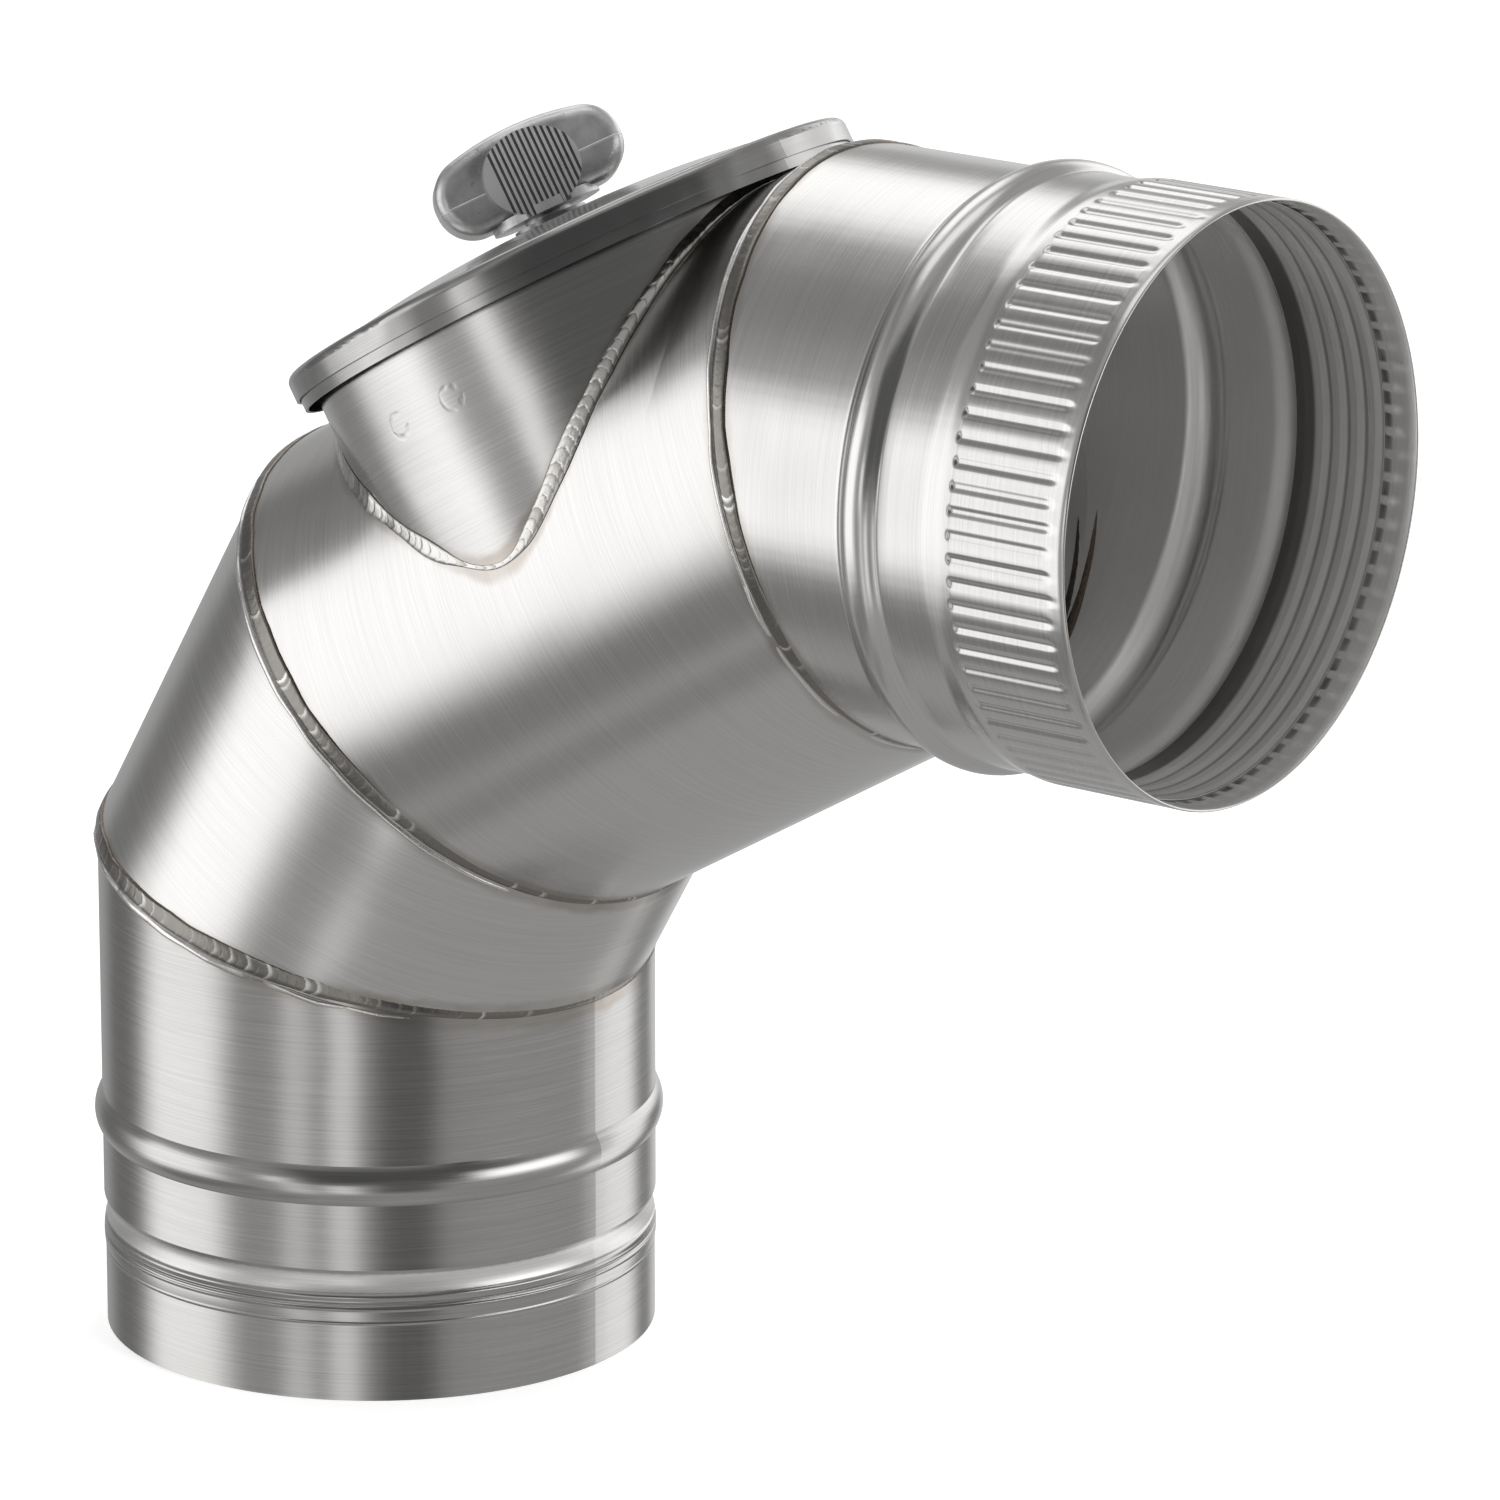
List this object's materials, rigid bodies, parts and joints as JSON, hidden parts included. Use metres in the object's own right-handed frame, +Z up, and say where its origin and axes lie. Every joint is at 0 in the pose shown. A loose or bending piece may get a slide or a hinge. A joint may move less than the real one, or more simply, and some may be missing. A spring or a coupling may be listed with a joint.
{
  "type": "flue elbow with inspection door",
  "caption": "Mitred 90 degree stainless flue elbow with a plain spigot, a fluted socket and an inspection branch closed by a domed cover with a clamp knob.",
  "frame": {"origin": "centre of the spigot's open end", "axes": "+Z up along the spigot into the elbow, +X out of the socket, Y across the bend"},
  "size_m": [0.3597, 0.1627, 0.3491],
  "materials": {
    "tube_steel": "satin brushed stainless steel",
    "weld_steel": "rippled weld bead with a light heat tint",
    "cover_steel": "bright pressed stainless steel",
    "cast_metal": "satin die-cast metal",
    "clamp_steel": "bright zinc-plated steel",
    "gasket_fibre": "matt heat-resistant gasket"
  },
  "bodies": {
    "elbow": {"spigot_tube": "tube_steel", "lower_gore": "tube_steel", "centre_gore": "tube_steel", "socket_tube": "tube_steel", "seal_ring": "tube_steel", "seam_lower": "weld_steel", "seam_middle": "weld_steel", "seam_upper": "weld_steel", "branch_tube": "tube_steel", "branch_weld": "weld_steel", "lug_front": "clamp_steel", "lug_back": "clamp_steel"},
    "cover": {"cover_shell": "cover_steel", "cover_pan": "cover_steel", "cover_gasket": "gasket_fibre", "knob_washer": "clamp_steel"},
    "knob_group": {"knob": "cast_metal", "knob_stud": "clamp_steel", "stud_clip": "clamp_steel"},
    "nut": {"clamp_nut": "clamp_steel"},
    "bar": {"clamp_bar": "clamp_steel"}
  },
  "joints": [
    {"name": "cover_lift", "type": "slide", "parent": "elbow", "child": "cover", "axis": [-0.4993, -0.0523, 0.8648], "range_m": [0, 0.06]},
    {"name": "knob_turn", "type": "hinge", "parent": "cover", "child": "knob_group", "pos_m": [0.06251, -0.00523, 0.31943], "axis": [0.4993, 0.0523, -0.8648], "range_deg": [0, 1080]},
    {"name": "nut_travel", "type": "slide", "parent": "cover", "child": "nut", "axis": [-0.4993, -0.0523, 0.8648], "range_m": [0, 0.00375]},
    {"name": "bar_swing", "type": "hinge", "parent": "nut", "child": "bar", "pos_m": [0.08897, -0.00246, 0.2736], "axis": [0.4993, 0.0523, -0.8648], "range_deg": [0, 90]}
  ],
  "couplings": [
    {"joint": "nut_travel", "follows": "knob_turn", "m_per_rad": 0.00019894}
  ]
}
